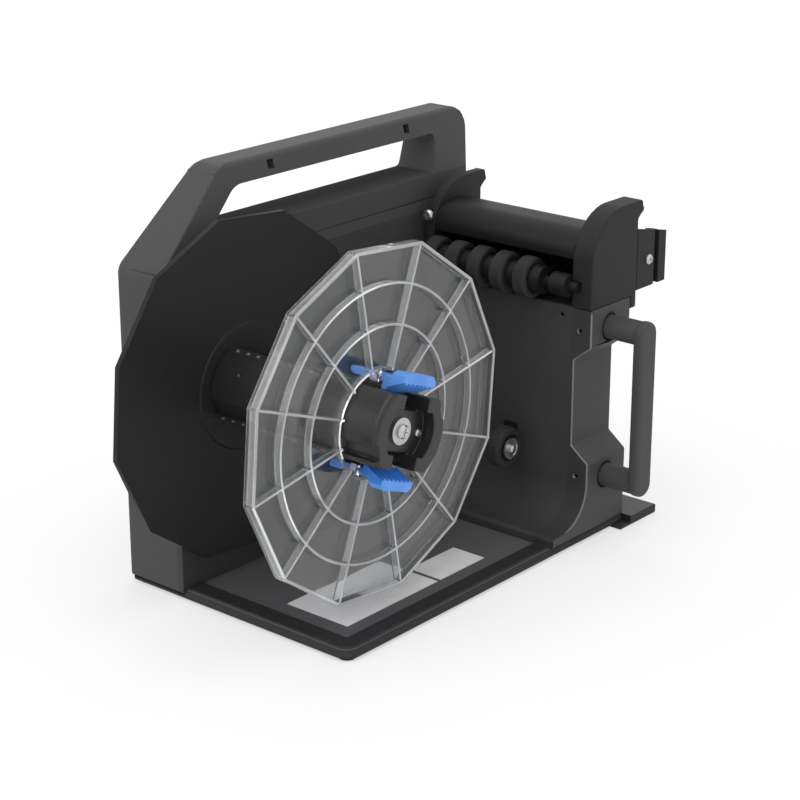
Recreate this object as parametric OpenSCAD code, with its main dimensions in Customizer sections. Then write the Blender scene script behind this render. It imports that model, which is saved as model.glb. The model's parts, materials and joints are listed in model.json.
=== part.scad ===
// Label rewinder: housing, tray and guide wall around a motor-driven spindle with two flanges.
// Millimetres, +Z up. X runs along the spindle toward the operator, +Y toward the guide wall.
// Sizes are taken from the spindle axis and from the front plane of the outer flange,
// and every node is moved to the frame origin at the middle of the bounding box's bottom.

/* [Spindle] */
// Height of the spindle axis above the table
spindle_h = 152; // [146:1:160]
// Turn of the spindle at rest, in degrees
spindle_turn = -20; // [-25:1:-15]
// Radius of the steel spindle shaft
shaft_r = 6; // [5:0.5:7]
// Gap between a turning shaft and its bearing
run_gap = 0.05; // [0.02:0.01:0.1]
// Gap between pieces that are fitted together
fit_gap = 0.02; // [0.01:0.01:0.05]
// Gap between pieces that pass each other
pass_gap = 0.3; // [0.25:0.05:0.5]

/* [Flanges] */
// Radius of both flanges to their corners
flange_r = 130; // [120:1:132]
// Number of sides of both flanges
flange_sides = 12; // [8:2:12]
// Clear space between the two flanges
flange_gap = 120.5; // [110:0.5:130]
// Depth of the outer flange
outer_flange_t = 9; // [8:0.5:10]
// Thickness of the outer flange's flat web
outer_web_t = 2.2; // [1.8:0.1:3]
// Thickness of the ribs and rings on the flanges
rib_t = 1.8; // [1.4:0.1:2.4]
// Radius of the flange ring next to the collar
ring_1_r = 71; // [66:1:76]
// Radius of the flange ring next to the rim
ring_2_r = 100; // [95:1:105]
// Wall of the outer flange's collar
collar_wall = 2.2; // [2:0.2:4]
// Depth of the inner flange
inner_flange_t = 4.5; // [4:0.5:6]
// Thickness of the inner flange's flat web
inner_web_t = 2.5; // [2:0.1:3]
// Radius of the raised step on the inner flange
step_r = 48; // [44:1:54]
// Height of the raised step on the inner flange
step_h = 1.5; // [1:0.5:3]
// Gap between the inner flange and the inner cover
flange_run_gap = 3; // [2:0.5:5]

/* [Core mandrel] */
// Radius of the mandrel, for a three-inch core
core_r = 37.8; // [37:0.1:38]
// Reach of the mandrel beyond the outer flange
core_reach = 27; // [25:1:30]
// Half height of the flats above and below
flat_h = 25.8; // [25:0.1:27]
// Width of the lever channels
channel_w = 26; // [25:0.5:28]
// Half height of the cross-bar between the channels
bar_h = 15; // [13:0.5:17]
// Recess of the cross-bar's end behind the leaf ends
bar_recess = 10; // [8:0.5:11]
// Radius of the recess in front of the cross-bar
recess_half = 25; // [24:0.5:26]
// Round at the mandrel's end
lead_r = 4; // [2:0.5:5]
// Width of the groove along each leaf
groove_w = 11; // [9:0.5:11.5]
// Depth of the groove along each leaf
groove_d = 4.5; // [3:0.5:5]
// Pitch of the lock notches along the flats
notch_pitch = 10; // [9:1:14]

/* [Levers] */
// Width of the lever arm
arm_w = 19; // [17:0.5:19]
// Width of the lever grip
grip_w = 34; // [30:1:38]
// Length of the lever grip
grip_l = 12; // [11:0.5:13]
// Thickness of the lever grip
grip_t = 13.4; // [12:0.2:14]
// Reach of the lever grip beyond the outer flange
grip_reach = 25; // [24:0.5:27]
// Reach of the lever's tail behind the outer flange's front
tail_reach = 31; // [28:1:36]
// Radius of the lever pins
pin_r = 1.5; // [1.2:0.1:1.8]
// Height of the lever pins from the spindle axis
pin_h = 33; // [32.5:0.1:33.5]

/* [Housing] */
// Depth of the outer cover
cover_depth = 50; // [49:1:56]
// Thickness of the inner cover
inner_cover_t = 6; // [5.5:0.5:7]
// Wall of the outer cover
cover_wall = 3; // [2.5:0.5:3.5]
// Height of the housing
cover_top = 307; // [304:1:312]
// Drop from the top to the front upper corner
corner_drop = 63; // [59:1:65]
// Run of the sloping front shoulder
shoulder_run = 80; // [76:1:84]
// Drop from the top to where the rear edge starts to lean back
lean_drop = 108; // [102:1:112]
// Reach of the leaning rear post
lean_run = 33.5; // [30:0.5:36]
// Height where the inner face starts to slope
knee_z = 203; // [198:1:208]
// Slope of the inner face, run over rise
face_slope = 0.288; // [0.26:0.002:0.3]
// Drop from the top to the ledge under the carry opening
ledge_drop = 46; // [43:1:48]
// Height of the carry bar
bar_z = 16; // [15:0.5:18]
// Width of the shoulder arm beside the carry opening
arm_side = 18.5; // [17:0.5:20]
// Width of the rear post beside the carry opening
post_w = 39.5; // [36:0.5:42]
// Drop from the top to the seam below the ledge
split_drop = 63.5; // [62:0.5:64.5]
// Width of the seam below the ledge
seam_w = 0.8; // [0.6:0.2:1.6]

/* [Base] */
// Height of the rubber feet
foot_h = 2; // [1.5:0.5:3]
// Radius of the rubber feet
foot_r = 7; // [6:0.5:8]
// Reach of the base in front of the spindle
base_front = 63; // [60:1:66]
// Reach of the base beyond the outer flange
base_reach = 24; // [22:1:26]
// Thickness of the base's lower lip
lip_t = 2; // [1.5:0.5:2.5]
// Height of the tray's rim above the lip
rim_h = 5; // [4.5:0.5:6]
// Depth of the tray's floor below its rim
tray_d = 1.5; // [1:0.5:2]
// Width of the tray's rim at the front
rim_front = 18; // [15:1:21]
// Width of the tray's rim at the side
rim_side = 17; // [15:1:19]
// Slope of the rim's outer edge
rim_bevel = 4; // [3:0.5:5]

/* [Guide wall] */
// Distance of the wall's face behind the spindle
wall_y = 215; // [213:1:220]
// Thickness of the wall
wall_t = 51; // [50:1:54]
// Height of the wall
wall_top = 188; // [186:1:189]
// Reach of the wall's foot into the tray
foot_reach = 42; // [40:1:44]
// Height of the wall's foot
foot_top = 15; // [13:0.5:18]
// Radius of the sweep between the foot and the wall
sweep_r = 32; // [28:1:36]
// Skin of the wall's shell
wall_skin = 3; // [2.5:0.5:3.5]
// Depth of the wall's end cap
cap_t = 19; // [18.5:0.5:20]
// Depth of the finger recess in the end cap
recess_d = 15.5; // [13:0.5:16]

/* [Pull handle] */
// Width of the handle's flat bar
bar_w = 20.4; // [18:0.2:22]
// Depth of the handle's flat bar
bar_d = 9.5; // [9:0.5:11]
// Round at the outer ends of the handle's bar
bar_corner = 8; // [6:0.5:8.5]
// Radius of the handle's roots
root_r = 9.5; // [8:0.5:10]
// Reach of the handle from the end cap
handle_reach = 36; // [34:0.5:38]
// Height of the handle's upper root
handle_top = 170; // [169:0.5:172]
// Height of the handle's lower root
handle_bottom = 49; // [46:0.5:52]

/* [Guides] */
// Thickness of the right guide ear
ear_r_t = 18; // [17:0.5:18.5]
// Thickness of the left guide ear
ear_l_t = 8; // [6:0.5:8]
// Height of the guide ears
ear_top = 262; // [260:0.5:264]
// Round at the front of the guide ears
ear_round = 40; // [36:1:44]
// Height of the guide plate's top
plate_top = 246; // [244:1:248]
// Height of the guide plate's lower edge
plate_low = 225; // [224:0.5:227]
// Thickness of the guide plate
plate_t = 3; // [2.5:0.5:3.5]
// Radius of the guide rollers
roller_r = 16; // [14:0.5:17]
// Width of the guide rollers
roller_w = 12; // [10:0.5:13]
// Pitch of the guide rollers
roller_pitch = 22.4; // [21:0.2:22.8]
// Number of guide rollers
roller_n = 5; // [4:1:5]
// Height of the guide rollers' axis
roller_z = 205; // [204:0.5:206]
// Setback of the guide rollers' axis from the wall's face
roller_back = 3; // [1:0.5:4]
// Radius of the guide rollers' shaft
rod_r = 4; // [3:0.5:5]
// Radius of the idler wheel
idler_r = 16; // [14:0.5:17.5]
// Width of the idler wheel
idler_w = 12; // [10:0.5:13]
// Distance of the idler's axis from the wall's face
idler_out = 27; // [25:0.5:30]
// Height of the idler's axis
idler_z = 72.5; // [70:0.5:75]

/* [Drive] */
// Module of the gears
gear_m = 1.25; // [1.2:0.05:1.3]
// Teeth of the spindle gear
gear_n = 60; // [60:15:60]
// Teeth of the motor pinion
pinion_n = 15; // [15:1:15]
// Width of the gears
gear_w = 8; // [7:0.5:8.5]
// Radius of the motor
motor_r = 21; // [18:0.5:22]
// Length of the motor
motor_l = 25; // [22:0.5:25.5]

/* [Hidden] */

$fn = 64;
arc_steps = 10;
cut = 1;

// Places along the spindle
flange_back_x = -outer_flange_t;
inner_front_x = flange_back_x - flange_gap;
inner_back_x = inner_front_x - inner_flange_t;
face_x = inner_back_x - flange_run_gap;
seam_x = face_x - inner_cover_t;
outer_x = seam_x - cover_depth;
right_x = base_reach;
cap_x = right_x - cap_t;
grip_x = right_x + handle_reach;

// Heights of the base
base_z = foot_h;
lip_z = base_z + lip_t;
rim_z = lip_z + rim_h;
floor_z = rim_z - tray_d;

// Heights of the housing
corner_z = cover_top - corner_drop;
lean_z = cover_top - lean_drop;
ledge_z = cover_top - ledge_drop;
split_z = cover_top - split_drop;

// Places front to back
front_y = -base_front;
back_y = wall_y + wall_t;
foot_y = wall_y - foot_reach;
post_y = back_y + lean_run;
slope_y = (post_y - back_y) / (cover_top - lean_z);
shoulder_a = atan2(cover_top - corner_z, shoulder_run);
open_top = cover_top - bar_z;
open_front = front_y + arm_side / sin(shoulder_a);
open_front_low = open_front + (ledge_z - corner_z) / tan(shoulder_a);
open_front_top = open_front + (open_top - corner_z) / tan(shoulder_a);
open_back_low = back_y + (ledge_z - lean_z) * slope_y - post_w;
open_back_top = back_y + (open_top - lean_z) * slope_y - post_w;
handle_x = outer_x + 13;
roof_z = split_z - 5;
ear_nose = 14;
ear_back_y = wall_y + 58;

// Docking bracket and plate
bracket_t = 2;
bracket_y = ear_back_y + 39;
bracket_low = 191;
bracket_high = 240;
dock_back = back_y + 35;
dock_t = 7.4;

// Frame origin at the middle of the bounding box's bottom
corner_turn = spindle_turn + 90;
low_y = min([for (k = [0 : flange_sides - 1]) flange_r * cos(corner_turn + k * 360 / flange_sides)]);
shift_x = -(outer_x + grip_x) / 2;
shift_y = -(low_y + bracket_y) / 2;

// Drive
bearing_r = 14;
bearing_w = 8;
plate_w = 3;
drive_gap = 1;
front_plate_x = seam_x - plate_w - 3;
rear_plate_x = front_plate_x - gear_w - 2 * drive_gap - plate_w;
gear_x = rear_plate_x + plate_w + drive_gap;
mesh_gap = 0.15;
mesh_a = -50;
centre_d = gear_m * (gear_n + pinion_n) / 2 + mesh_gap;
motor_y = centre_d * cos(mesh_a);
motor_z = spindle_h + centre_d * sin(mesh_a);
motor_shaft_r = 2;
pilot_r = 6;
shaft_end_x = rear_plate_x - 8;
drive_low = spindle_h - 60;
drive_high = spindle_h + 34;
drive_front = -34;
drive_back = 54;
drive_posts = [[drive_front, drive_low], [drive_back, drive_low],
    [drive_front, drive_high], [drive_back, drive_high]];
post_r = 5;
plate_edge = 7;
screw_r = 1.5;
head_r = 3;
head_h = 2;

// Power
board_low = 16;
board_high = 70;
board_front = -50;
board_back = 30;
board_t = 1.6;
peg_h = 3;
peg_r = 3;
power_x = outer_x + cover_depth / 2;
inlet_z = 40;
inlet_w = 12;
inlet_d = 16;
inlet_r = 2.8;
switch_z = 76;
switch_w = 13;
switch_h = 23;
switch_d = 20;
switch_wall = 0.9;
rocker_w = switch_w - 2 * switch_wall - 2 * pass_gap;
rocker_tip = 7;
rocker_y = back_y - 4.5;
trunnion_r = 1.2;

// Outlines as [place, height, round]
housing_outline = [[front_y, lip_z, 3], [front_y, corner_z, 12], [front_y + shoulder_run, cover_top, 30],
    [post_y, cover_top, 14], [back_y, lean_z, 40], [back_y, lip_z, 3]];
opening_outline = [[open_front_low, ledge_z, 5], [open_front_top, open_top, 22],
    [open_back_top, open_top, 5], [open_back_low, ledge_z, 5]];
wall_outline = [[foot_y, floor_z, 0], [foot_y, foot_top, 3], [wall_y, foot_top, sweep_r],
    [wall_y, wall_top, 2], [back_y - wall_skin, wall_top, 0], [back_y - wall_skin, floor_z, 0]];
cap_outline = [[foot_y, floor_z, 0], [foot_y, foot_top, 3], [wall_y, foot_top, sweep_r],
    [wall_y, wall_top, 2], [back_y, wall_top, 2], [back_y, floor_z, 0]];
ear_front_y = wall_y - 1.5;
ear_outline = [[ear_front_y, wall_top, 0], [ear_front_y, ear_top, ear_round], [ear_back_y + 5, ear_top, 2],
    [ear_back_y + 7, ear_top - 8, 2], [ear_back_y, ear_top - ear_nose, 3], [ear_back_y, wall_top - 10, 3],
    [back_y, wall_top - 10, 0], [back_y, wall_top, 0]];
guide_y = wall_y - 1;
guide_back = ear_back_y - 6;
guide_drop = 6;
guide_outline = [[guide_y, plate_low, 0.8], [guide_y, plate_top, 19], [guide_y + 36, plate_top, 30],
    [guide_back, plate_top - guide_drop, 4], [guide_back, wall_top, 0], [guide_back - plate_t, wall_top, 0],
    [guide_back - plate_t, plate_top - guide_drop - plate_t, 1],
    [guide_y + 36, plate_top - plate_t, 27], [guide_y + plate_t, plate_top - plate_t, 16],
    [guide_y + plate_t, plate_low, 0.8]];

ear_r_x = right_x - ear_r_t;
ear_l_x = face_x;
ear_l_in = ear_l_x + ear_l_t;

function unit(v) = v / norm(v);
function flat(p) = [p[0], p[1]];
function wrap(pts, i) = pts[(i + len(pts)) % len(pts)];

// Arc that rounds the corner q between its neighbours p and s
function corner_arc(p, q, s, r) = let(
        u = unit(p - q),
        w = unit(s - q),
        half = acos(u * w) / 2,
        centre = q + unit(u + w) * r / sin(half),
        a = q + u * r / tan(half) - centre,
        b = q + w * r / tan(half) - centre,
        start = atan2(a[1], a[0]),
        turn = atan2(a[0] * b[1] - a[1] * b[0], a * b))
    [for (i = [0 : arc_steps]) centre + r * [cos(start + turn * i / arc_steps),
        sin(start + turn * i / arc_steps)]];

function rounded(pts) = [for (i = [0 : len(pts) - 1]) each (pts[i][2] > 0
    ? corner_arc(flat(wrap(pts, i - 1)), flat(pts[i]), flat(wrap(pts, i + 1)), pts[i][2])
    : [flat(pts[i])])];

// Outline moved inward by d, for points that run clockwise
function right_of(v) = unit([v[1], -v[0]]);
function inset(pts, d) = [for (i = [0 : len(pts) - 1]) let(
        p = flat(wrap(pts, i - 1)),
        q = flat(pts[i]),
        s = flat(wrap(pts, i + 1)),
        m = right_of(q - p),
        n = right_of(s - q),
        side = m[0] * n[1] - m[1] * n[0] < 0 ? -d : d,
        moved = q + (m + n) * d / (1 + m * n))
    [moved[0], moved[1], max(pts[i][2] + side, 0)]];

// Inner face of the housing, and the back of the inner cover, at height z
function slope_x(z) = face_x - max(z - knee_z, 0) * face_slope;

// Gear outline with involute flanks
function inv(a) = tan(a) * 180 / PI - a;
function half_tooth(r, rp, n) = let(rb = rp * cos(20), play = 0.1)
    90 / n - play / rp * 180 / PI + inv(20) - inv(acos(min(rb / r, 1)));
function gear_points(n) = let(
        rp = gear_m * n / 2,
        rb = rp * cos(20),
        tip = rp + 0.95 * gear_m,
        root = rp - 1.2 * gear_m,
        low = max(rb, root),
        radii = root < rb ? [root, low, rp, tip] : [low, rp, tip],
        last = len(radii) - 1)
    [for (k = [0 : n - 1]) each concat(
        [for (i = [0 : last]) radii[i] * [cos(k * 360 / n - half_tooth(max(radii[i], low), rp, n)),
            sin(k * 360 / n - half_tooth(max(radii[i], low), rp, n))]],
        [for (i = [0 : last]) let(r = radii[last - i]) r * [cos(k * 360 / n + half_tooth(max(r, low), rp, n)),
            sin(k * 360 / n + half_tooth(max(r, low), rp, n))]])];

module placed() translate([shift_x, shift_y, 0]) children();
module on_spindle() placed() translate([0, 0, spindle_h]) rotate([spindle_turn, 0, 0]) children();

// Outline of (y, z) drawn out along X, and outline of (x, z) drawn out along Y
module along_x(x0, x1) translate([x0, 0, 0]) rotate([90, 0, 90]) linear_extrude(x1 - x0) children();
module along_y(y0, y1) translate([0, y1, 0]) rotate([90, 0, 0]) linear_extrude(y1 - y0) children();
module x_rod(x0, x1, r, sides = 64) translate([x0, 0, 0]) rotate([0, 90, 0]) cylinder(h = x1 - x0, r = r, $fn = sides);
module x_turned(pts) rotate([0, 90, 0]) rotate_extrude() polygon(pts);
module x_ring(x0, x1, r0, r1) difference() {
    x_rod(x0, x1, r1);
    x_rod(x0 - cut, x1 + cut, r0);
}
module y_rod(y0, y1, r) translate([0, y0, 0]) rotate([-90, 0, 0]) cylinder(h = y1 - y0, r = r);

// Screw with a domed head that points along +X, its head seated at x
module x_screw(x, r, head, height, length) {
    x_turned([[0, x - length], [r, x - length], [r, x], [head, x], [head, x + height * 0.5],
        [head * 0.7, x + height], [0, x + height]]);
}
module cross_slot(x, size, depth) for (a = [0, 90]) rotate([a, 0, 0])
    translate([x - depth, -size, -size * 0.2]) cube([depth + cut, 2 * size, size * 0.4]);

// Base
module tray_outline(inset_by) polygon(rounded([[face_x + pass_gap, front_y + inset_by, 0],
    [face_x + pass_gap, back_y, 0], [right_x - inset_by, back_y, 0],
    [right_x - inset_by, front_y + inset_by, 10]]));

lip_x = outer_x + 1;
pocket_margin = 20;
pocket_pitch = 38;
pocket_rib = 2.4;
pocket_nx = floor((right_x - lip_x - 2 * pocket_margin) / pocket_pitch);
pocket_ny = floor((back_y - front_y - 2 * pocket_margin) / pocket_pitch);
hole_r = 2.4;
skin = 0.4;

module base_tray() color([0.22, 0.22, 0.23]) placed() difference() {
    union() {
        translate([0, 0, base_z]) linear_extrude(lip_t) polygon(rounded([[lip_x, front_y, 4],
            [lip_x, back_y, 4], [right_x, back_y, 3], [right_x, front_y, 10]]));
        hull() {
            translate([0, 0, lip_z - skin]) linear_extrude(skin) tray_outline(0);
            translate([0, 0, rim_z - skin]) linear_extrude(skin) tray_outline(rim_bevel);
        }
    }
    translate([face_x, front_y + rim_front, floor_z])
        cube([right_x - rim_side - face_x, back_y - front_y, rim_h]);
    translate([face_x, foot_y, floor_z]) cube([right_x + cut - face_x, back_y + cut - foot_y, rim_h]);
    for (i = [0 : pocket_nx - 1], j = [0 : pocket_ny - 1])
        translate([lip_x + pocket_margin + i * pocket_pitch, front_y + pocket_margin + j * pocket_pitch,
            base_z - cut])
            cube([pocket_pitch - pocket_rib, pocket_pitch - pocket_rib,
                cut + (lip_x + pocket_margin + i * pocket_pitch > face_x ? floor_z - base_z - 2.5 : lip_t / 2)]);
    translate([right_x - rim_side * 0.75, foot_y - 11, base_z - cut]) cylinder(h = rim_z, r = hole_r);
}

foot_in = 9;
module rubber_feet() color([0.07, 0.07, 0.07]) placed()
    for (p = [[lip_x + foot_in, front_y + foot_in], [right_x - foot_in, front_y + foot_in],
            [right_x - foot_in, wall_y + 4], [lip_x + foot_in, back_y - foot_in]])
        translate([p[0], p[1], 0]) cylinder(h = foot_h, r1 = foot_r - 0.8, r2 = foot_r);

dock_x0 = face_x + 20;
dock_x1 = right_x + 8;
dock_tongue = 14;
module docking_plate() color([0.2, 0.2, 0.21]) placed() along_x(dock_x0, dock_x1)
    polygon(rounded([[back_y - dock_tongue, 0, 0], [back_y - dock_tongue, base_z, 0], [back_y, base_z, 0],
        [back_y, dock_t, 1], [dock_back, dock_t, 2], [dock_back, 0, 1]]));

sheet_t = 0.4;
sheet_x = -6;
sheet_y = -30;
long_sheet_w = 58;
long_sheet_l = 100;
short_sheet_w = 30;
short_sheet_l = 52;
sheet_gap = 4;
module floor_sheets() color([0.7, 0.7, 0.7]) placed() {
    translate([sheet_x - long_sheet_w, sheet_y, floor_z]) cube([long_sheet_w, long_sheet_l, sheet_t]);
    translate([sheet_x - short_sheet_w, sheet_y + long_sheet_l + sheet_gap, floor_z])
        cube([short_sheet_w, short_sheet_l, sheet_t]);
}

// Housing
module housing_prism(x0, x1) along_x(x0, x1) polygon(rounded(housing_outline));
module carry_opening() along_x(outer_x - cut, face_x + cut) polygon(rounded(opening_outline));

handle_screw_y = [67, 222];
handle_screw_z = (cover_top + open_top) / 2;
well_w = 4.5;
well_h = 7;
handle_seat_x = handle_x + 5;

module outer_cover() color([0.3, 0.3, 0.3]) placed() difference() {
    union() {
        difference() {
            intersection() {
                housing_prism(outer_x, face_x);
                along_y(front_y - cut, post_y + cut) polygon(rounded([[outer_x, 0, 0], [seam_x, 0, 0],
                    [seam_x, knee_z, 0], [slope_x(split_z) - inner_cover_t, split_z, 0],
                    [handle_x, split_z, 0], [handle_x, cover_top, 0], [outer_x, cover_top, 4]]));
            }
            intersection() {
                along_x(outer_x + cover_wall, face_x) polygon(rounded(inset(housing_outline, cover_wall)));
                translate([outer_x, front_y, 0]) cube([cover_depth * 2, post_y - front_y, roof_z]);
            }
            carry_opening();
        }
        for (p = drive_posts) translate([0, p[0], p[1]]) x_rod(outer_x + cover_wall, rear_plate_x, post_r);
        for (y = [board_front + 5, board_back - 5], z = [board_low + 5, board_high - 5])
            translate([0, y, z]) x_rod(outer_x + cover_wall, outer_x + cover_wall + peg_h, peg_r);
    }
    for (p = drive_posts) translate([0, p[0], p[1]])
        x_rod(outer_x + cover_wall, rear_plate_x + cut, screw_r + fit_gap);
    for (y = handle_screw_y) translate([0, y, handle_screw_z])
        x_rod(handle_x - 8, handle_x + cut, screw_r + fit_gap);
    translate([power_x - inlet_w / 2, back_y - 2 * cover_wall, inlet_z - inlet_w / 2])
        cube([inlet_w, 3 * cover_wall, inlet_w]);
    translate([power_x - switch_w / 2, back_y - 2 * cover_wall, switch_z - switch_h / 2])
        cube([switch_w, 3 * cover_wall, switch_h]);
}

module handle_cover() color([0.3, 0.3, 0.3]) placed() difference() {
    intersection() {
        housing_prism(handle_x, face_x);
        along_y(front_y - cut, post_y + cut) polygon(rounded([[handle_x, split_z + seam_w, 0],
            [handle_x, cover_top, 0], [slope_x(cover_top), cover_top, 5],
            [slope_x(split_z + seam_w), split_z + seam_w, 0]]));
    }
    carry_opening();
    for (y = handle_screw_y) translate([0, y, handle_screw_z]) {
        translate([handle_seat_x, -well_w / 2 - 1, -well_h / 2]) cube([cover_depth, well_w + 2, well_h]);
        x_rod(handle_x - cut, handle_seat_x + cut, screw_r + fit_gap);
    }
}

module handle_screws() color([0.7, 0.7, 0.72]) placed() for (y = handle_screw_y)
    translate([0, y, handle_screw_z]) difference() {
        x_screw(handle_seat_x, screw_r, head_r, head_h, 10);
        cross_slot(handle_seat_x + head_h, head_r * 0.6, 0.9);
    }

shaft_hole_r = 16;
module inner_cover() color([0.27, 0.27, 0.27]) placed() difference() {
    intersection() {
        along_y(front_y, post_y) polygon([[seam_x, lip_z], [seam_x, knee_z],
            [slope_x(split_z) - inner_cover_t, split_z], [slope_x(split_z), split_z], [face_x, knee_z],
            [face_x, lip_z]]);
        housing_prism(outer_x, face_x + cut);
    }
    translate([0, 0, spindle_h]) x_rod(seam_x - cut, face_x + cut, shaft_hole_r);
}

// Guide wall
cap_pocket = 3.5;
module wall_shell() color([0.24, 0.24, 0.24]) placed() difference() {
    along_x(face_x, cap_x) polygon(rounded(wall_outline));
    along_x(face_x + wall_skin, cap_x + cut) polygon([[wall_y - 7, floor_z + wall_skin],
        [wall_y + wall_skin, foot_top + sweep_r], [wall_y + wall_skin, wall_top - wall_skin],
        [back_y, wall_top - wall_skin], [back_y, floor_z + wall_skin]]);
    translate([cap_x - 9, 0, wall_top - 8]) y_rod(wall_y - cut, wall_y + wall_skin + cut, 1.6);
}

module wall_back_cover() color([0.24, 0.24, 0.24]) placed()
    translate([face_x, back_y - wall_skin, floor_z]) difference() {
        cube([cap_x - face_x, wall_skin, wall_top - floor_z]);
        for (x = [14, (cap_x - face_x) / 2, cap_x - face_x - 12], z = [14, wall_top - floor_z - 12])
            translate([x, 0, z]) y_rod(wall_skin / 2, wall_skin + cut, 3);
    }

recess_x = right_x - recess_d;
recess_top = 158;
recess_low = 64;
recess_run = 12;
socket_d = 4;
socket_gap = 1;
handle_y = wall_y + wall_t / 2;
module wall_end_cap() color([0.3, 0.3, 0.3]) placed() difference() {
    along_x(cap_x, right_x) polygon(rounded(cap_outline));
    along_y(foot_y - cut, back_y + cut) polygon([[right_x, recess_top], [recess_x, recess_top - recess_run],
        [recess_x, recess_low + recess_run], [right_x, recess_low], [right_x + cut, recess_low],
        [right_x + cut, recess_top]]);
    for (z = [handle_top, handle_bottom]) translate([0, handle_y, z])
        x_rod(right_x - socket_d, right_x + cut, root_r + socket_gap);
    difference() {
        translate([cap_x - cut, wall_y + cap_pocket, floor_z + cap_pocket])
            cube([cut + 9, wall_t - 2 * cap_pocket, recess_low - floor_z - 2 * cap_pocket]);
        translate([0, handle_y, handle_bottom]) x_rod(cap_x - cut, right_x, root_r + socket_gap + cap_pocket);
    }
    for (z = [wall_top - 18, 52]) translate([cap_x + 8, 0, z]) y_rod(wall_y - cut, wall_y + 6, 1.6);
}

bar_over = 1;
bar_round = 3;
bar_back_x = grip_x - bar_d;
handle_low = handle_bottom - root_r - bar_over;
handle_high = handle_top + root_r + bar_over;
module pull_handle() color([0.32, 0.32, 0.32]) placed() translate([0, handle_y, 0]) {
    for (z = [handle_top, handle_bottom]) translate([0, 0, z])
        x_rod(right_x - socket_d, bar_back_x + cut, root_r);
    intersection() {
        along_y(-bar_w, bar_w) polygon(rounded([[bar_back_x, handle_low, 0], [bar_back_x, handle_high, 0],
            [grip_x, handle_high, bar_corner], [grip_x, handle_low, bar_corner]]));
        linear_extrude(handle_high + cut) polygon(rounded([[bar_back_x, -bar_w / 2, bar_round],
            [bar_back_x, bar_w / 2, bar_round], [grip_x, bar_w / 2, bar_round], [grip_x, -bar_w / 2, bar_round]]));
    }
}

// Guides at the top of the wall
roller_y = wall_y - roller_back;
roller_x1 = -27;
bore_d = 8;
module right_guide_ear() color([0.27, 0.27, 0.27]) placed() difference() {
    along_x(ear_r_x, right_x) polygon(rounded(ear_outline));
    translate([0, roller_y, roller_z]) x_rod(ear_r_x - cut, ear_r_x + bore_d, rod_r + run_gap);
}

ear_screw_z = ear_top - 26;
ear_boss_l = 8;
ear_boss_r = 3;
ear_screw_x = ear_l_x + ear_boss_r;
module left_guide_ear() color([0.27, 0.27, 0.27]) placed() difference() {
    union() {
        along_x(ear_l_x, ear_l_in) polygon(rounded(ear_outline));
        translate([ear_screw_x, 0, ear_screw_z]) y_rod(ear_front_y, ear_front_y + ear_boss_l, ear_boss_r);
    }
    translate([0, roller_y, roller_z]) x_rod(ear_l_x - cut, ear_l_in + cut, rod_r + run_gap);
}

module guide_plate() color([0.25, 0.25, 0.25]) placed() along_x(ear_l_in, ear_r_x) polygon(rounded(guide_outline));

module ear_screw() color([0.72, 0.72, 0.74]) placed()
    translate([ear_screw_x, ear_front_y, ear_screw_z]) rotate([0, 0, -90]) difference() {
        x_turned([[0, 0], [4.5, 0], [4.5, 1.4], [3.4, 3], [0, 3]]);
        cross_slot(3, 2.2, 1);
    }

module roller_shaft() color([0.16, 0.16, 0.16]) placed() translate([0, roller_y, roller_z])
    x_rod(ear_l_x + 1, ear_r_x + bore_d - 1, rod_r);

roller_edge = 1.5;
module guide_rollers() color([0.3, 0.3, 0.31]) placed() translate([0, roller_y, roller_z])
    for (i = [0 : roller_n - 1]) translate([roller_x1 - i * roller_pitch, 0, 0])
        x_turned([[rod_r + fit_gap, -roller_w], [8, -roller_w], [9, -roller_w + 1.2], [11.5, -roller_w + 1.2],
            [12.2, -roller_w], [roller_r - roller_edge, -roller_w], [roller_r, -roller_w + roller_edge],
            [roller_r, -roller_edge], [roller_r - roller_edge, 0], [12.2, 0], [11.5, -1.2], [9, -1.2], [8, 0],
            [rod_r + fit_gap, 0]]);

// Sleeves between the rollers, a stop collar beside them and a wider sleeve up to the right ear
sleeve_r = 10;
stop_r = 11;
stop_w = 9.5;
end_r = 9;
end_w = 14.5;
end_gap = 0.5;
module roller_collars() color([0.2, 0.2, 0.2]) placed() translate([0, roller_y, roller_z]) {
    for (i = [1 : roller_n - 1])
        x_ring(roller_x1 - i * roller_pitch, roller_x1 - (i - 1) * roller_pitch - roller_w, rod_r + fit_gap, sleeve_r);
    x_ring(roller_x1, roller_x1 + stop_w, rod_r + fit_gap, stop_r);
    x_ring(ear_r_x - end_gap - end_w, ear_r_x - end_gap, rod_r + fit_gap, end_r);
}

// Idler wheel low on the wall
idler_y = wall_y - idler_out;
idler_x = -31;
axle_r = 4;
lug_t = 5;
lug_x = idler_x - idler_w - 1 - lug_t;
seat_side = 6;
seat_half = 10;
seat_t = 3;
module idler_bracket() color([0.22, 0.22, 0.22]) placed() difference() {
    union() {
        translate([lug_x - seat_side, wall_y - seat_t, idler_z - seat_half])
            cube([lug_t + seat_side, seat_t, 2 * seat_half]);
        along_x(lug_x, lug_x + lug_t) polygon([[idler_y, idler_z + 8], [wall_y - 2, idler_z + 9],
            [wall_y - 2, idler_z - 9], [idler_y, idler_z - 8]]);
        translate([0, idler_y, idler_z]) x_rod(lug_x, lug_x + lug_t, 8);
    }
    translate([0, idler_y, idler_z]) x_rod(lug_x - cut, lug_x + lug_t + cut, axle_r + fit_gap);
}

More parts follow.
